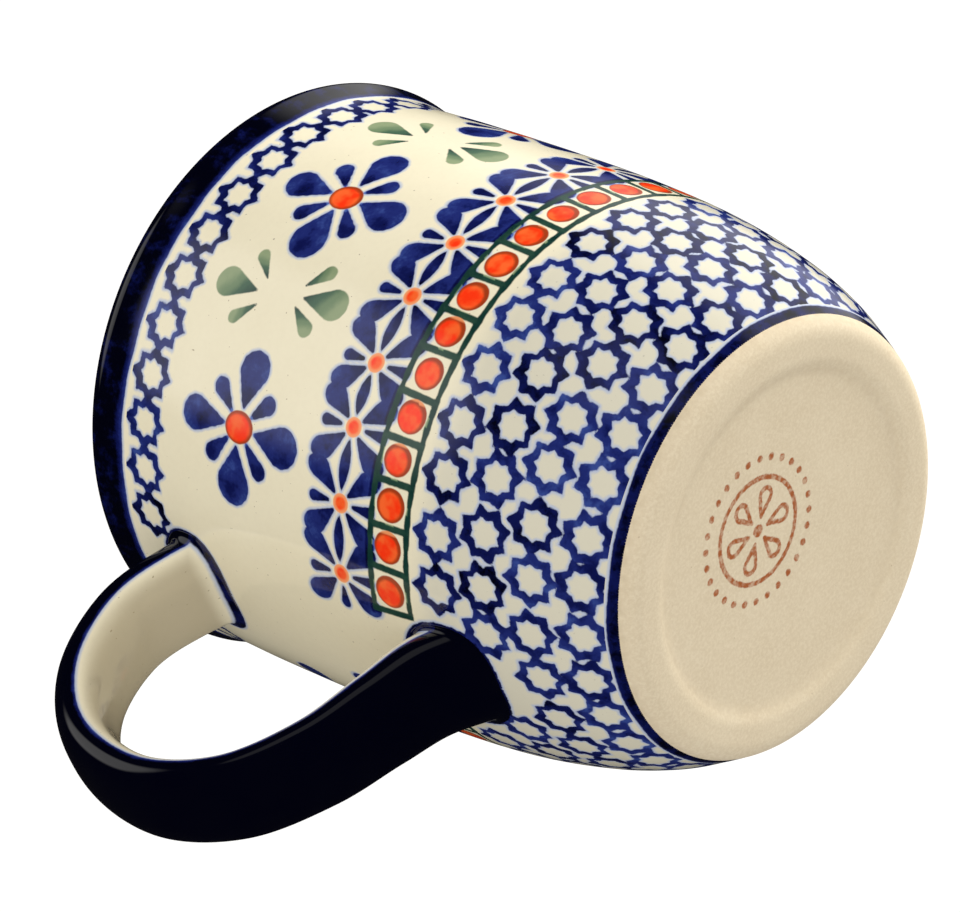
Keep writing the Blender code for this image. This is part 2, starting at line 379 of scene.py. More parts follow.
class Paint:
    """The pigment fields over a set of points on the wall."""

    def __init__(self, place, height):
        self.place = place
        self.height = height
        self.run = wall_run(height)
        self.blue, self.green, self.orange, self.glow = np.full((4, *place.shape), FAR)
        self.tone = np.zeros(place.shape)

    def near(self, place, height, reach):
        """The points within reach of a spot, with their distances right and up from it."""
        aside = (self.place - place + 180) % 360 - 180
        radius = wall_radius(height)
        close = np.abs(aside) * math.radians(1) * radius < reach
        close &= np.abs(self.height - height) < reach
        index = np.nonzero(close)
        x = np.radians(aside[index]) * wall_radius(self.height[index])
        return index, x, self.run[index] - wall_run(height)

    def lay(self, pigment, index, shape, tone):
        """Add a shape to a pigment, and give its own patch of the wall its tone."""
        field = getattr(self, pigment)
        inked = shape < np.minimum(field[index], TONE_REACH)
        self.tone[tuple(part[inked] for part in index)] = np.broadcast_to(tone, shape.shape)[inked]
        field[index] = np.minimum(field[index], shape)

    def dab(self, index, shape, tone, inner):
        """Add a dab of orange with a brighter inner part."""
        self.lay("orange", index, shape, tone)
        self.glow[index] = np.minimum(self.glow[index], inner)

    def fields(self):
        return {"blue": self.blue, "green": self.green, "orange": self.orange,
                "glow": self.glow, "tone": self.tone}


def paint_stars(paint, row, seed):
    """One row of stamped stars."""
    height, first, last, count, turn = row
    chance = np.random.RandomState(seed)
    for place in wandering(first, last, count, STAR_STRAY, seed + 1):
        tilt = math.radians(turn + chance.uniform(-STAR_TILT, STAR_TILT))
        lift = chance.uniform(-STAR_LIFT, STAR_LIFT)
        load = 0.56 + chance.uniform(-0.22, 0.24)
        index, x, y = paint.near(place, height + lift, STAR_SPREAD)
        bend = 0.08 * np.sin(1.7 * y + 1.0) + 0.05 * np.sin(2.9 * x)
        weight = 0.13 * np.sin(1.1 * x - 0.8 * y + 4.0) + 0.11
        shape = star_ring(x + bend, y - 0.5 * bend, tilt) - weight
        paint.lay("blue", index, shape, load + 0.9 * weight)


def paint_flower(paint, place, height, seed):
    """One big flower: eight blue petals round an orange centre."""
    chance = np.random.RandomState(seed)
    index, x, y = paint.near(place, height, FLOWER_SPREAD)
    turn = chance.uniform(-2, 2)
    tone = np.full(x.shape, 0.52)
    for direction, distance in FLOWER_POOLS:
        angle = math.radians(direction + turn)
        gap = np.hypot(x - distance * math.cos(angle), y - distance * math.sin(angle))
        tone = np.maximum(tone, 0.52 + 0.36 * np.exp(-(gap / 1.5) ** 2))
    ragged = 0.06 * np.sin(3.1 * x + seed) * np.sin(3.7 * y)
    for direction, start, end, big in FLOWER_PETALS:
        shape = drop(x, y, direction + turn, start, end, 0.3, big)
        paint.lay("blue", index, shape + ragged, tone)
    paint.dab(index, disc(x, y, 2.35, 2.75), 0.0, disc(x + 0.1, y - 0.1, 1.9, 2.25))


def paint_sprig(paint, place, height, seed):
    """Two fans of three green leaves, one above and one below the middle."""
    chance = np.random.RandomState(seed)
    index, x, y = paint.near(place, height, SPRIG_SPREAD)
    slip = chance.uniform(-0.6, 0.6)
    for tip_x, tip_y, direction, length, big in SPRIG_LEAVES:
        dx, dy = x - tip_x - slip, y - tip_y
        angle = math.radians(direction)
        along = (dx * math.cos(angle) + dy * math.sin(angle)) / length
        side = (-dx * math.sin(angle) + dy * math.cos(angle)) / big
        tone = np.clip(1.0 - 1.15 * along + 0.22 * side, 0.05, 1.0)
        shape = drop(dx, dy, direction, 0.0, length, 0.18, big)
        paint.lay("green", index, shape, tone)


def paint_garland(paint):
    """A chain of small flowers whose petals meet halfway to their neighbours."""
    places = wandering(*GARLAND, 0.9, 21)
    last = len(places) - 1
    for i, place in enumerate(places):
        index, x, y = paint.near(place, GARLAND_HEIGHT, GARLAND_SPREAD)
        radius = np.hypot(x, y)
        tone = np.clip(0.90 - 0.08 * (radius - 1.6), 0.50, 0.90)
        paint.lay("blue", index, drop(x, y, 92, 2.0, 5.9, 0.32, 0.88), tone + 0.12)
        paint.lay("blue", index, drop(x, y, 270, 2.0, 6.2, 0.32, 0.88), tone + 0.1)
        for side, neighbour in ((1, i + 1), (-1, i - 1)):
            if 0 <= neighbour <= last:
                gap = abs(places[neighbour] - place) * math.radians(1) * GARLAND_RADIUS / 2
                leaf = lens(x - side * gap, y - 0.1, gap - 1.55, 0.95)
                paint.lay("blue", index, leaf, tone + 0.08)
            else:
                gap = GARLAND_END_GAP
                outward = 0 if side > 0 else 180
                paint.lay("blue", index, drop(x, y, outward, 1.9, 5.5, 0.3, 0.85), tone + 0.1)
            reach = math.hypot(gap - GARLAND_INSET, GARLAND_RISE)
            climb = math.degrees(math.atan2(GARLAND_RISE, gap - GARLAND_INSET))
            for rise in (climb, -climb):
                direction = rise if side > 0 else 180 - rise
                bowed = 0.055 * radius * np.maximum(radius - 1.5, 0)
                lift = bowed * math.copysign(1, rise) * 0.35
                petal = drop(x, y - lift, direction, 1.55, reach + 1.6, 0.32, 1.76)
                paint.lay("blue", index, petal, tone)
        paint.dab(index, disc(x, y, 1.42, 1.42), 1.0, disc(x, y, 0.95, 0.95))


def paint_ladder(paint):
    """The green ladder with an orange dot in each of its cells."""
    first, last, cells = LADDER
    middle = (LADDER_LOW + LADDER_HIGH) / 2
    uprights = wandering(first, last, cells + 1, 0.35, 31)
    chance = np.random.RandomState(32)
    inside = (paint.place > uprights[0]) & (paint.place < uprights[-1])
    rails = np.minimum(np.abs(paint.height - LADDER_LOW - RAIL_INSET),
                       np.abs(paint.height - LADDER_HIGH + RAIL_INSET))
    turn = np.radians(paint.place)
    rails = rails - RAIL_HALF - 0.10 * np.sin(turn * 23) * np.sin(turn * 57)
    index = np.nonzero(inside)
    paint.lay("green", index, rails[index], 0.92)
    for i, place in enumerate(uprights):
        index, x, y = paint.near(place, middle, BAR_SPREAD)
        lean = chance.uniform(-0.05, 0.05)
        bar = np.maximum(np.abs(x + lean * y) - BAR_HALF, np.abs(y) - BAR_REACH)
        paint.lay("green", index, bar, 0.88)
        if i == cells:
            continue
        centre = (place + uprights[i + 1]) / 2 + chance.uniform(-0.35, 0.35)
        index, x, y = paint.near(centre, middle + chance.uniform(-0.2, 0.15), DOT_SPREAD)
        half = DOT_RADIUS + chance.uniform(-0.1, 0.1)
        outer = disc(x, y, half, half * chance.uniform(0.98, 1.05))
        shift = chance.uniform(0.1, 0.3)
        inner = disc(x + shift, y - 0.8 * shift, half - DOT_EDGE, half - DOT_EDGE)
        paint.dab(index, outer, 0.0, inner)


def paint_joint_line(paint, foot_ring):
    """The cobalt line drawn round the foot of a joint on the wall."""
    ring_place = np.degrees(np.arctan2(-foot_ring[:, 1], -foot_ring[:, 0]))
    ring_height = foot_ring[:, 2]
    aside = (paint.place + 180) % 360 - 180
    close = (np.abs(aside) < JOINT_SIDES) & (paint.height > ring_height.min() - JOINT_MARGIN)
    close &= paint.height < ring_height.max() + JOINT_MARGIN
    index = np.nonzero(close)
    x = np.radians(aside[index]) * wall_radius(paint.height[index])
    ring_x = np.radians(ring_place) * wall_radius(ring_height)
    reach = np.hypot(x[:, None] - ring_x, paint.run[index][:, None] - wall_run(ring_height)).min(1)
    paint.lay("blue", index, reach - JOINT_LINE_HALF, 0.95)


def glaze_zone(name, low, high, painters, look):
    """One zone of the outside glaze, as a closed ring with its pattern."""
    face = wall_line(low, high)
    behind = backed(face, COAT)[::-1]
    back = np.vstack([behind[:-1:BACK_STEP], behind[-1:]])
    places = round_places(COLUMNS)
    points = turned_grid(np.vstack([face, back]), places)
    place, height = np.meshgrid(places, face[:, 1])
    paint = Paint(place, height)
    for painter in painters:
        painter(paint)
    rest = np.full((len(back), COLUMNS), FAR)
    fields = {field: np.vstack([values, rest]) for field, values in paint.fields().items()}
    closed_grid(name, points, True, look, "outside_glaze", fields)


# ---- the strap's surface ----
def strap_surface(place, angle):
    """Points of the strap, and how far each lies outwards from the strap's middle line."""
    step = 0.002
    middle = smooth_curve(STRAP, place)
    ahead = smooth_curve(STRAP, np.minimum(place + step, 1.0))
    behind = smooth_curve(STRAP, np.maximum(place - step, 0.0))
    along = ahead - behind
    along /= np.hypot(along[..., 0], along[..., 1])[..., None]
    half_width = smooth_curve(STRAP_HALF_WIDTH, place)[..., 0]
    half_thickness = smooth_curve(STRAP_HALF_THICKNESS, place)[..., 0]
    power = 2 / STRAP_SQUARENESS
    across = np.sign(np.cos(angle)) * np.abs(np.cos(angle)) ** power * half_width
    depth = np.sign(np.sin(angle)) * np.abs(np.sin(angle)) ** power * half_thickness
    reach = middle[..., 0] - along[..., 1] * depth
    height = middle[..., 1] + along[..., 0] * depth
    return np.stack([-reach, across, height], -1), depth


def wall_gap(spots):
    """How far points stand off the outside of the wall."""
    return np.hypot(spots[..., 0], spots[..., 1]) - wall_radius(spots[..., 2])


def strap_meets_wall(angles, upper):
    """For each angle of the section, the place along the strap where it meets the wall."""
    places = np.linspace(0 if upper else 1, 0.5, MEET_POINTS)
    grid, angle = np.meshgrid(places, angles, indexing="ij")
    gaps = wall_gap(strap_surface(grid, angle)[0])
    first = np.argmax(gaps > 0, axis=0)
    columns = np.arange(len(angles))
    low, high = gaps[first - 1, columns], gaps[first, columns]
    share = -low / (high - low)
    return places[first - 1] + share * (places[first] - places[first - 1])


def fillet_rows(angles, meets, sign, radius, length):
    """Rows of the fillet from the wall to the strap, and the place where each column leaves it."""
    edge = strap_surface(meets, angles)[0]
    leaves = meets + sign * radius * 1.1 / length
    start = strap_surface(leaves, angles)[0]
    turn = np.arctan2(-edge[:, 1], -edge[:, 0])
    flat = np.stack([turn * wall_radius(edge[:, 2]), wall_run(edge[:, 2])], -1)
    tangent = np.roll(flat, -1, axis=0) - np.roll(flat, 1, axis=0)
    outward = np.stack([tangent[:, 1], -tangent[:, 0]], -1)
    outward /= np.hypot(*outward.T)[:, None]
    if ((flat - flat.mean(0)) * outward).sum() < 0:
        outward = -outward
    foot_flat = flat + outward * radius
    under_flat = flat + outward * (radius + 0.3)
    rows = []
    for spread, out in ((under_flat, -0.45), (foot_flat, 0.0)):
        height = np.interp(spread[:, 1], WALL_RUN, WALL_TRACE[:, 0])
        place = np.degrees(spread[:, 0] / wall_radius(height))
        rows.append(wall_spot(place, height, out))
    under, foot = rows
    shares = np.linspace(1, 0, FILLET_ROWS)[1:-1, None, None]
    bent = (1 - shares) ** 2 * start + 2 * shares * (1 - shares) * edge + shares**2 * foot
    return np.concatenate([under[None], foot[None], bent]), leaves, foot


def strap_angles():
    """The angles of the strap's section at which its columns stand."""
    return (np.arange(STRAP_COLUMNS) + 0.5) * 2 * math.pi / STRAP_COLUMNS


def strap_grid():
    """The whole handle with its fillets as one grid, with the row where each stretch ends."""
    angles = strap_angles()
    trace = smooth_curve(STRAP, np.linspace(0, 1, STRAP_POINTS))
    length = np.hypot(*np.diff(trace, axis=0).T).sum()
    top_rows, top_leaves, top_foot = fillet_rows(angles, strap_meets_wall(angles, True), 1,
                                                 UPPER_FILLET, length)
    low_rows, low_leaves, low_foot = fillet_rows(angles, strap_meets_wall(angles, False), -1,
                                                 LOWER_FILLET, length)
    share = np.linspace(0, 1, STRAP_ROWS)[:, None]
    places = top_leaves + (low_leaves - top_leaves) * share
    middle, depth = strap_surface(places, angles + 0 * share)
    grid = np.concatenate([top_rows, middle, low_rows[::-1]])
    depth = np.concatenate([depth[:1].repeat(len(top_rows), 0), depth,
                            depth[-1:].repeat(len(low_rows), 0)])
    return grid, depth, len(top_rows), len(grid) - len(low_rows), top_foot, low_foot


def grid_normals(grid):
    """Outward normals of a grid whose columns wrap."""
    down = np.gradient(grid, axis=0)
    over = np.roll(grid, -1, axis=1) - np.roll(grid, 1, axis=1)
    normal = np.cross(down, over)
    normal /= np.maximum(np.linalg.norm(normal, axis=-1, keepdims=True), 1e-9)
    middle = len(grid) // 2
    outward = grid[middle] - grid[middle].mean(0)
    return normal if (normal[middle] * outward).sum() > 0 else -normal


def cobalt_fields(blue, tone):
    """The fields of a surface that has no pigment but cobalt."""
    plain = np.full(blue.shape, FAR)
    return {"blue": blue, "green": plain, "orange": plain, "glow": plain, "tone": tone}


def make_handle(look, core_look):
    """The strap, its two coats and the two joints, and the rings where the joints end."""
    grid, depth, top, low, top_foot, low_foot = strap_grid()
    normals = grid_normals(grid)
    gap = wall_gap(grid)
    edge = -(depth + COBALT_EDGE)
    line = gap - JOINT_COBALT
    blue = np.minimum(edge, line)
    tone = np.where(edge < line, 0.35 + 1.2 * np.clip(-edge / COBALT_EDGE, 0, 1), 1.0)
    fields = cobalt_fields(blue, tone)

    def shell(name, rows, columns):
        """A thin closed shell over some rows and columns of the handle."""
        face = grid[rows][:, columns]
        face_normal = normals[rows][:, columns]
        back = (face - face_normal * COAT)[:, ::-1]
        points = np.concatenate([face, back], axis=1)
        facing = np.concatenate([face_normal, -face_normal[:, ::-1]], axis=1)
        part = {}
        for field, values in fields.items():
            value = values[rows][:, columns]
            part[field] = np.concatenate([value, value[:, ::-1]], axis=1)
        closed_grid(name, points, False, look, name, part, facing)

    angles = strap_angles()
    split = math.radians(CLEAR_SPLIT)
    cream = np.nonzero((angles > math.pi + split) & (angles < 2 * math.pi - split))[0]
    cobalt = np.arange(cream[-1], cream[0] + STRAP_COLUMNS + 1) % STRAP_COLUMNS
    run = slice(top - 1, low + 1)
    shell("handle_cobalt_coat", run, cobalt)
    shell("handle_clear_coat", run, cream)
    for name, rows in (("upper_joint_slip", slice(0, top)), ("lower_joint_slip", slice(low, None))):
        part = {field: values[rows] for field, values in fields.items()}
        closed_grid(name, grid[rows], False, look, name, part, normals[rows])
    core = (grid - normals * 2 * COAT)[top - 1:low + 1]
    closed_grid("strap_handle", core[::4], False, core_look, "strap_handle")
    return top_foot, low_foot


# ---- materials ----
class Look:
    """A material built node by node."""

    def __init__(self, name):
        self.material = bpy.data.materials.new(name)
        self.material.use_nodes = True
        self.tree = self.material.node_tree
        self.shader = self.tree.nodes["Principled BSDF"]
        self.spot = self.tree.nodes.new("ShaderNodeTexCoord").outputs["Object"]

    def node(self, kind, **settings):
        made = self.tree.nodes.new(kind)
        for setting, value in settings.items():
            setattr(made, setting, value)
        return made

    def plug(self, socket, value):
        """Join a value or another node's output to a socket."""
        if isinstance(value, bpy.types.NodeSocket):
            self.tree.links.new(value, socket)
        else:
            socket.default_value = value

    def math(self, operation, first, second):
        made = self.node("ShaderNodeMath", operation=operation)
        self.plug(made.inputs[0], first)
        self.plug(made.inputs[1], second)
        return made.outputs[0]

    def field(self, name):
        return self.node("ShaderNodeAttribute", attribute_name=name).outputs["Fac"]

    def noise(self, cell, detail=2.0, rough=0.5):
        """Noise from 0 to 1 whose features are about cell millimetres across."""
        made = self.node("ShaderNodeTexNoise")
        self.plug(made.inputs["Vector"], self.spot)
        self.plug(made.inputs["Scale"], 1.0 / (cell * MM))
        self.plug(made.inputs["Detail"], detail)
        self.plug(made.inputs["Roughness"], rough)
        return made.outputs["Fac"]

    def between(self, value, low, high, to_low=0.0, to_high=1.0):
        """The value's smooth share of the way from low to high, carried over to another range."""
        made = self.node("ShaderNodeMapRange", interpolation_type="SMOOTHSTEP")
        for socket, number in zip(made.inputs[:5], (value, low, high, to_low, to_high)):
            self.plug(socket, number)
        return made.outputs[0]

    def mix(self, share, first, second):
        """A share of the second colour laid over the first."""
        made = self.node("ShaderNodeMix", data_type="RGBA")
        self.plug(made.inputs[0], share)
        for socket, colour in ((made.inputs[6], first), (made.inputs[7], second)):
            self.plug(socket, (*colour, 1.0) if isinstance(colour, tuple) else colour)
        return made.outputs[2]

    def ramp(self, share, stops):
        """The colour that stands at a share along a list of stops."""
        made = self.node("ShaderNodeValToRGB")
        made.color_ramp.interpolation = "EASE"
        while len(made.color_ramp.elements) < len(stops):
            made.color_ramp.elements.new(0.5)
        for element, (position, colour) in zip(made.color_ramp.elements, stops):
            element.position = position
            element.color = (*colour, 1.0)
        self.plug(made.inputs[0], share)
        return made.outputs[0]

    def bump(self, height, strength, depth, under=None):
        """A surface raised by a height, on top of another bump if one is given."""
        made = self.node("ShaderNodeBump")
        made.inputs["Strength"].default_value = strength
        made.inputs["Distance"].default_value = depth * MM
        self.plug(made.inputs["Height"], height)
        if under is not None:
            self.plug(made.inputs["Normal"], under)
        return made.outputs["Normal"]


# Colours, as linear red, green and blue. A ramp's stops run from thin pigment to thick.
CREAM_WARM = (0.80, 0.725, 0.52)
CREAM_PALE = (0.87, 0.80, 0.60)
CREAM_MOTTLE = (0.70, 0.62, 0.45)
IRON_FLECK = (0.20, 0.13, 0.07)
LOW_WALL_PAINTED_SHADE = (0.60, 0.575, 0.475)
COBALT_HALO = (0.40, 0.47, 0.66)
# The painted shade laid on the strap's inner cream.
STRAP_PAINTED_SHADE = (0.33, 0.265, 0.165)
COBALT_WASH = [(0.0, (0.080, 0.145, 0.41)), (0.22, (0.036, 0.066, 0.27)), (0.45, (0.013, 0.022, 0.15)),
               (0.66, (0.004, 0.007, 0.072)), (0.92, (0.0003, 0.0004, 0.004))]
SAGE_WASH = [(0.0, (0.27, 0.335, 0.185)), (0.35, (0.15, 0.225, 0.12)), (0.62, (0.048, 0.112, 0.066)),
             (1.0, (0.005, 0.032, 0.027))]
DOT_RIM = (0.34, 0.045, 0.010)
CENTRE_RIM = (0.90, 0.33, 0.13)
ORANGE_DEEP = (0.97, 0.038, 0.005)
ORANGE_LIGHT = (0.95, 0.13, 0.025)
CLAY_DARK = (0.64, 0.52, 0.345)
CLAY_LIGHT = (0.73, 0.615, 0.43)
CLAY_SAND = (0.83, 0.73, 0.55)
CLAY_GRAIN = (0.40, 0.28, 0.16)
CLAY_WORN = (0.50, 0.39, 0.25)
MARK_BROWN = (0.38, 0.095, 0.016)
FLOOR_GREYS = ((0.86, 0.86, 0.85), (0.90, 0.90, 0.89))
GLAZE_IOR = 1.52
# The heights between which the low wall is painted greyer as shade, and by how much.
LOW_WALL_SHADE_HEIGHTS = (32.5, 27.0)
LOW_WALL_SHADE_SHARE = 0.68


def cream_ground(look):
    """The cream of the body seen through clear glaze, faintly mottled and flecked with iron."""
    cloud = look.noise(14.0, 3.0)
    fine = look.noise(0.9, 2.0)
    ground = look.mix(cloud, CREAM_WARM, CREAM_PALE)
    ground = look.mix(look.between(fine, 0.35, 0.75, 0.0, 0.10), ground, CREAM_MOTTLE)
    flecks = look.between(look.noise(0.42, 0.0), 0.835, 0.87, 0.0, 0.6)
    return look.mix(flecks, ground, IRON_FLECK)


def glossy(look):
    """The skin of the glaze: glossy, with the slow waves and fine peel that it cools with."""
    look.plug(look.shader.inputs["Roughness"], look.between(look.noise(5.0), 0.2, 0.8, 0.045, 0.11))
    look.shader.inputs["IOR"].default_value = GLAZE_IOR
    slow = look.bump(look.noise(11.0, 1.0), 0.5, 0.05)
    peel = look.bump(look.noise(1.6, 1.0), 0.35, 0.006, slow)
    look.plug(look.shader.inputs["Normal"], peel)


def painted_glaze(name, ragged, painted_shade=0.0):
    """Clear glaze over the painted pattern, which is read from the distances stored on the mesh.

    Ragged is how far the pattern's edges stray, in millimetres. The third argument is how much
    the cream is darkened well away from any blue, as painted shade.
    """
    look = Look(name)
    tone = look.field("tone")
    wobble = look.math("MULTIPLY", look.math("SUBTRACT", look.noise(0.8, 2.0), 0.5), ragged)
    marks = ("blue", "green", "glow")
    blue, green, glow = (look.math("ADD", look.field(mark), wobble) for mark in marks)
    orange = look.math("ADD", look.field("orange"), look.math("MULTIPLY", wobble, 0.6))

    height = look.node("ShaderNodeSeparateXYZ")
    look.plug(height.inputs[0], look.spot)
    # Painted shade: the cream greys towards the bottom of the wall, standing in for the shade there.
    painted_low_shade = look.between(height.outputs["Z"], LOW_WALL_SHADE_HEIGHTS[0] * MM, LOW_WALL_SHADE_HEIGHTS[1] * MM, 0.0, LOW_WALL_SHADE_SHARE)
    ground = look.mix(painted_low_shade, cream_ground(look), LOW_WALL_PAINTED_SHADE)
    ground = look.mix(look.between(blue, 0.55, 0.0, 0.0, 0.85), ground, COBALT_HALO)
    # Painted shade: the cream well away from any blue is darkened, as on the strap's inner face.
    ground = look.mix(look.between(blue, 0.2, 2.4, 0.0, painted_shade), ground, STRAP_PAINTED_SHADE)

    pooled = look.math("MULTIPLY", look.math("SUBTRACT", look.noise(2.6, 3.0, 0.6), 0.5), 0.9)
    grain = look.math("MULTIPLY", look.math("SUBTRACT", look.noise(0.5, 2.0), 0.5), 0.2)
    load = look.math("ADD", look.math("ADD", tone, pooled), grain)
    wash = look.ramp(look.math("MULTIPLY", load, 0.8), COBALT_WASH)
    colour = look.mix(look.between(blue, 0.09, -0.13), ground, wash)

    sage = look.ramp(look.math("ADD", tone, look.math("MULTIPLY", pooled, 0.35)), SAGE_WASH)
    colour = look.mix(look.between(green, 0.12, -0.16), colour, sage)

    rim = look.mix(tone, DOT_RIM, CENTRE_RIM)
    fill = look.mix(look.between(look.noise(2.4, 2.0), 0.35, 0.65), ORANGE_DEEP, ORANGE_LIGHT)
    ember = look.mix(look.between(glow, 0.30, -0.30), rim, fill)
    colour = look.mix(look.between(orange, 0.10, -0.14), colour, ember)
    look.plug(look.shader.inputs["Base Color"], colour)
    glossy(look)
    return look.material


def clear_over_clay():
    """Clear glaze with no painting, as inside the cup."""
    look = Look("clear_glaze")
    look.plug(look.shader.inputs["Base Color"], cream_ground(look))
    glossy(look)
    return look.material


def bare_clay():
    """Fired stoneware without glaze: pale, sandy and matt, with a printed mark on the base."""
    look = Look("bare_stoneware")
    sand = look.noise(0.45, 3.0, 0.7)
    patch = look.noise(9.0, 3.0)
    colour = look.mix(patch, CLAY_DARK, CLAY_LIGHT)
    colour = look.mix(look.between(sand, 0.35, 0.7, 0.0, 0.5), colour, CLAY_SAND)
    colour = look.mix(look.between(look.noise(0.6, 1.0), 0.78, 0.82, 0.0, 0.5), colour, CLAY_GRAIN)
    wear = look.math("MULTIPLY", look.field("wear"), look.between(look.noise(0.9, 3.0), 0.3, 0.65))
    colour = look.mix(wear, colour, CLAY_WORN)
    print_edge = look.math("ADD", look.field("mark"),
                           look.math("MULTIPLY", look.math("SUBTRACT", look.noise(0.5, 2.0), 0.5), 0.35))
    inked = look.math("MULTIPLY", look.between(print_edge, 0.10, -0.12),
                      look.between(look.noise(0.8, 3.0), 0.3, 0.6, 0.45, 1.0))
    colour = look.mix(inked, colour, MARK_BROWN)
    look.plug(look.shader.inputs["Base Color"], colour)
    look.plug(look.shader.inputs["Roughness"], look.between(sand, 0.2, 0.8, 0.62, 0.88))
    grains = look.bump(sand, 0.3, 0.06)
    look.plug(look.shader.inputs["Normal"], look.bump(look.noise(3.0, 2.0), 0.3, 0.08, grains))
    return look.material


# ---- the pieces of the mug ----
def base_mark(x, y):
    """A plain potter's mark: a flower in a ring, inside a circle of dots."""
    x, y = x - MARK_CENTRE[0], y - MARK_CENTRE[1]
    radius = np.hypot(x, y)
    shape = np.abs(radius - MARK_RING) - MARK_RING_HALF
    for i in range(MARK_PETALS):
        petal = drop(x, y, 360 / MARK_PETALS * i + 12, 1.6, 6.4, 0.3, 1.45)
        shape = np.minimum(shape, np.abs(petal + MARK_STROKE) - MARK_STROKE)
    shape = np.minimum(shape, radius - MARK_EYE)
    angle = np.arctan2(y, x)
    nearest = np.round(angle / (2 * math.pi) * MARK_DOTS) * 2 * math.pi / MARK_DOTS
    dot_x, dot_y = MARK_DOT_RING * np.cos(nearest), MARK_DOT_RING * np.sin(nearest)
    return np.minimum(shape, np.hypot(x - dot_x, y - dot_y) - MARK_DOT_RADIUS)


def make_foot(look):
    """The bare clay that shows: the recessed base, the foot ring and the corner above it."""
    disc_line = resampled([(AXIS_GAP, RECESS), (BASE_DISC, RECESS)], 0.3)
    ring_line = resampled(smooth_curve(FOOT, np.linspace(0, 1, LINE_POINTS)), 0.2)
    ring_line[:, 1] = np.maximum(ring_line[:, 1], 0)
    corner = wall_line(WALL[0][0], FOOT_LINE_LOW + 0.1)
    inside = [(wall_radius(FOOT_TOP) - 0.6, FOOT_TOP), (AXIS_GAP, FOOT_TOP)]
    line = np.vstack([disc_line[:-1], ring_line[:-1], corner, [(wall_radius(2.2) - 0.35, 2.2)], inside])
    points = turned_grid(line, round_places(FOOT_COLUMNS))
    radius = np.hypot(points[..., 0], points[..., 1])
    fields = {"mark": np.where(radius < BASE_DISC, base_mark(points[..., 0], points[..., 1]), FAR)}
    recess = np.exp(-((radius - 24.0) / 0.7) ** 2)
    corner_wear = np.clip((points[..., 2] - 0.7) / 0.9, 0, 1)
    fields["wear"] = np.where(points[..., 2] < 3, 0.2 * recess + 0.35 * corner_wear, 0.0)
    closed_grid("stoneware_foot", points, False, look, "stoneware_body", fields)


def make_wall_core(look):
    """The clay of the wall between the glaze inside and the glaze outside."""
    heights = np.linspace(FOOT_TOP - 0.2, HEIGHT - LIP_HALF_HEIGHT, 90)
    outside = [(wall_radius(height) - CORE_DEPTH, height) for height in heights]
    lip = lip_line()
    lip = lip + (lip_centre() - lip) * 0.12
    inside = backed(cavity_line(92.0, 2.0), CORE_DEPTH)
    line = np.vstack([[(AXIS_GAP, FOOT_TOP + 0.2)], outside, lip[1:-1:4], inside])
    line[-1] = (AXIS_GAP, line[-1][1])
    points = turned_grid(line, round_places(CORE_COLUMNS))
    fields = {"mark": np.full(points.shape[:2], FAR), "wear": np.zeros(points.shape[:2])}
    closed_grid("stoneware_wall", points, False, look, "stoneware_body", fields)


def make_liner(look):
    """The clear glaze inside the cup."""
    face = cavity_line(RIM_INSIDE_END, 1.0)
    back = backed(face, COAT)
    for line in (face, back):
        line[-1] = (CAVITY[-1][0], line[-1][1])
    points = turned_grid(np.vstack([face[::-1], back]), round_places(CORE_COLUMNS))
    closed_grid("inside_glaze", points, False, look, "inside_glaze")


def make_rim(look):
    """The cobalt band over the lip, with cream just showing at both of its edges."""
    inside = cavity_line(HEIGHT - LIP_HALF_HEIGHT, 0.3)
    inside = inside[inside[:, 1] >= RIM_INSIDE_END]
    outside = wall_line(RIM_PIECE_LOW, HEIGHT - LIP_HALF_HEIGHT)
    face = np.vstack([outside[:-1], resampled(lip_line(), 0.25), inside[1:]])
    back = backed(face, COAT)[::-3]
    places = round_places(COLUMNS)
    points = turned_grid(np.vstack([face, back]), places)
    run = np.concatenate([[0], np.cumsum(np.hypot(*np.diff(face, axis=0).T))])
    turn = np.radians(places)
    wave = 0.12 * np.sin(5 * turn + 1) + 0.10 * np.sin(13 * turn) + 0.05 * np.sin(37 * turn)
    start = RIM_BAND_LOW - RIM_PIECE_LOW
    stop = run[-1] - (RIM_INSIDE_LOW - RIM_INSIDE_END)
    depth = np.minimum(run[:, None] - start - wave, stop + wave - run[:, None])
    blue = np.vstack([-depth, np.full((len(back), COLUMNS), FAR)])
    tone = 0.45 + 0.68 * np.clip(-blue / 1.3, 0, 1)
    closed_grid("rim_cobalt_band", points, True, look, "rim_cobalt_band",
                cobalt_fields(blue, tone))


def make_foot_line(look):
    """The cobalt line just above the bare foot."""
    face = wall_line(FOOT_LINE_LOW, FOOT_LINE_END)
    back = backed(face, COAT)[::-2]
    places = round_places(COLUMNS)
    points = turned_grid(np.vstack([face, back]), places)
    height = np.vstack([face, back])[:, 1][:, None] + 0 * places
    turn = np.radians(places)
    wave = 0.07 * np.sin(7 * turn) + 0.06 * np.sin(17 * turn + 2)
    blue = height - FOOT_LINE_HIGH - wave
    tone = 0.75 + 0.25 * np.clip(-blue / 0.5, 0, 1)
    closed_grid("foot_cobalt_line", points, True, look, "foot_cobalt_line",
                cobalt_fields(blue, tone))


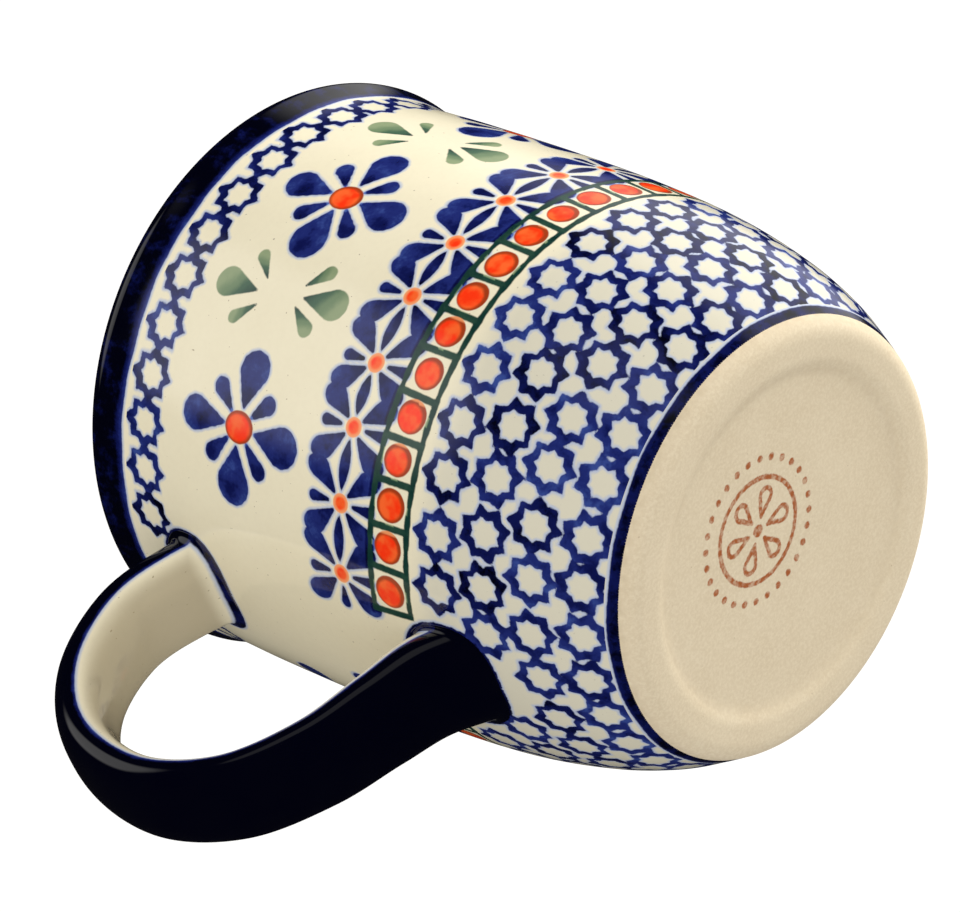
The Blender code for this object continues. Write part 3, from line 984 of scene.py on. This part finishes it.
def make_outside(look, star_look, top_foot, low_foot):
    """The outside glaze, zone by zone."""
    def joints(paint):
        paint_joint_line(paint, top_foot)
        paint_joint_line(paint, low_foot)

    def field(paint):
        for number, row in enumerate(FIELD_STARS):
            paint_stars(paint, row, 40 + 10 * number)

    def rim(paint):
        paint_stars(paint, RIM_STARS, 90)

    def flowers(paint):
        for number, (place, height) in enumerate(zip(FLOWER_PLACES, FLOWER_HEIGHTS)):
            paint_flower(paint, place, height, 100 + number)
        pairs = zip(FLOWER_PLACES, FLOWER_PLACES[1:], FLOWER_HEIGHTS, FLOWER_HEIGHTS[1:])
        for number, (here, there, low, high) in enumerate(pairs):
            paint_sprig(paint, (here + there) / 2 + SPRIG_SHIFT, (low + high) / 2, 120 + number)

    ladder = [paint_garland, paint_ladder]
    glaze_zone("glaze_star_field", FOOT_LINE_END, STARS_END, [field, joints], star_look)
    glaze_zone("glaze_dotted_band", STARS_END, LADDER_END, [*ladder, joints], look)
    glaze_zone("glaze_garland", LADDER_END, GARLAND_END, ladder, look)
    glaze_zone("glaze_flowers", GARLAND_END, FLOWERS_END, [flowers, rim, joints], look)
    glaze_zone("glaze_rim_stars", FLOWERS_END, RIM_PIECE_LOW, [rim, joints], star_look)


# ---- camera, light and floor ----
CAMERA_SPOT = Vector((-0.26566, -0.38881, -0.34609))
CAMERA_AIM = Vector((-0.00317, 0.00213, 0.05648))
CAMERA_ROLL = 69.1
CAMERA_LENS = 162.3

# Each light and soft panel starts with its direction from the mug: right, up and away, as the
# camera sees them. A light ends with its spread in degrees and its strength, a panel with the
# cosine of the angle at its edge and its brightness.
LIGHTS = {"key": (0.45, 0.55, 0.30, 45.0, 4.0), "front": (-0.2, 0.3, -1.0, 35.0, 0.7)}
SOFT_PANELS = [(0.60, 0.80, 0.45, 0.75, 0.9), (-0.95, 0.35, -0.05, 0.88, 1.0),
               (-0.25, 0.75, -0.60, 0.93, 0.3)]
# The share of a panel's width over which it fades.
PANEL_SOFTNESS = 0.6
PANEL_FLOOR = 0.006
AMBIENT = 0.80
SEEN_WHITE = 1.1
FLOOR_HALF = 1.5


def camera_axes():
    """The camera's right, up and back directions."""
    forward = (CAMERA_AIM - CAMERA_SPOT).normalized()
    level = forward.cross(Vector((0, 0, 1))).normalized()
    upright = level.cross(forward)
    roll = math.radians(CAMERA_ROLL)
    up = upright * math.cos(roll) + level * math.sin(roll)
    return forward.cross(up), up, -forward


def make_camera():
    """The camera, which looks up at the base from below floor level."""
    right, up, back = camera_axes()
    data = bpy.data.cameras.new("camera")
    data.lens = CAMERA_LENS
    data.sensor_width = 36.0
    data.clip_start = 0.01
    data.clip_end = 20.0
    camera = placed("camera", data)
    turn = Matrix((right, up, back)).transposed().to_4x4()
    camera.matrix_world = Matrix.Translation(CAMERA_SPOT) @ turn
    bpy.context.scene.camera = camera


def make_light(name, aside, above, behind, spread, strength):
    """A soft far light that brightens the mug without showing in its gloss."""
    right, up, back = camera_axes()
    source = right * aside + up * above - back * behind
    data = bpy.data.lights.new(name, "SUN")
    data.angle = math.radians(spread)
    data.energy = strength
    lamp = placed(name, data)
    lamp.matrix_world = source.to_track_quat("Z", "Y").to_matrix().to_4x4()
    lamp.visible_glossy = False


def make_world():
    """A white studio: seen white, lighting evenly, and shining in the gloss as soft panels."""
    world = bpy.data.worlds.new("studio")
    bpy.context.scene.world = world
    world.use_nodes = True
    tree = world.node_tree
    tree.nodes.clear()

    def node(kind, operation=None):
        made = tree.nodes.new(kind)
        if operation:
            made.operation = operation
        return made

    def backdrop(strength):
        made = node("ShaderNodeBackground")
        made.inputs["Color"].default_value = (1.0, 0.99, 0.97, 1.0)
        made.inputs["Strength"].default_value = strength
        return made

    def chosen(share, first, second):
        made = node("ShaderNodeMixShader")
        for socket, output in zip(made.inputs, (share, first, second)):
            tree.links.new(output, socket)
        return made.outputs[0]

    looking = node("ShaderNodeTexCoord").outputs["Generated"]
    glow = backdrop(0.0)
    total = None
    right, up, back = camera_axes()
    for aside, above, behind, edge, strength in SOFT_PANELS:
        along = node("ShaderNodeVectorMath", "DOT_PRODUCT")
        along.inputs[1].default_value = (right * aside + up * above - back * behind).normalized()
        tree.links.new(looking, along.inputs[0])
        panel = node("ShaderNodeMapRange")
        panel.interpolation_type = "SMOOTHSTEP"
        full = edge + PANEL_SOFTNESS * (1 - edge)
        for socket, number in zip(panel.inputs[1:5], (edge, full, 0.0, strength)):
            socket.default_value = number
        tree.links.new(along.outputs["Value"], panel.inputs[0])
        sum_up = node("ShaderNodeMath", "ADD")
        sum_up.inputs[1].default_value = PANEL_FLOOR
        if total is not None:
            tree.links.new(total, sum_up.inputs[1])
        tree.links.new(panel.outputs[0], sum_up.inputs[0])
        total = sum_up.outputs[0]
    tree.links.new(total, glow.inputs["Strength"])
    path = node("ShaderNodeLightPath")
    unseen = chosen(path.outputs["Is Glossy Ray"], backdrop(AMBIENT).outputs[0], glow.outputs[0])
    every = chosen(path.outputs["Is Camera Ray"], unseen, backdrop(SEEN_WHITE).outputs[0])
    tree.links.new(every, node("ShaderNodeOutputWorld").inputs["Surface"])


def make_floor():
    """A pale floor that is only there from above, so that the base can be looked at."""
    look = Look("floor")
    pale = look.mix(look.noise(60.0, 2.0), *FLOOR_GREYS)
    look.plug(look.shader.inputs["Base Color"], pale)
    look.shader.inputs["Roughness"].default_value = 0.9
    side = look.node("ShaderNodeNewGeometry").outputs["Backfacing"]
    clear = look.node("ShaderNodeBsdfTransparent").outputs[0]
    choose = look.node("ShaderNodeMixShader")
    out = look.tree.nodes["Material Output"]
    look.plug(choose.inputs[0], side)
    look.plug(choose.inputs[1], look.shader.outputs[0])
    look.plug(choose.inputs[2], clear)
    look.plug(out.inputs["Surface"], choose.outputs[0])
    corners = [(x * FLOOR_HALF, y * FLOOR_HALF, 0) for x, y in ((-1, -1), (1, -1), (1, 1), (-1, 1))]
    mesh = bpy.data.meshes.new("floor")
    mesh.from_pydata(corners, [], [(0, 1, 2, 3)])
    mesh.materials.append(look.material)
    floor = placed("floor", mesh)
    for ray in ("shadow", "diffuse", "glossy", "transmission"):
        setattr(floor, f"visible_{ray}", False)


def main():
    """Make the mug, its camera, light and floor."""
    painted = painted_glaze("painted_glaze", 0.18)
    stamped = painted_glaze("stamped_glaze", 0.42)
    # The strap's cream carries painted shade.
    shaded = painted_glaze("strap_glaze", 0.12, 0.6)
    clear = clear_over_clay()
    clay = bare_clay()
    make_foot(clay)
    make_wall_core(clay)
    make_liner(clear)
    make_rim(painted)
    make_foot_line(painted)
    top_foot, low_foot = make_handle(shaded, clay)
    make_outside(painted, stamped, top_foot, low_foot)
    make_camera()
    make_world()
    for name, placing in LIGHTS.items():
        make_light(name, *placing)
    make_floor()
    bpy.context.scene.view_settings.view_transform = "Standard"


main()
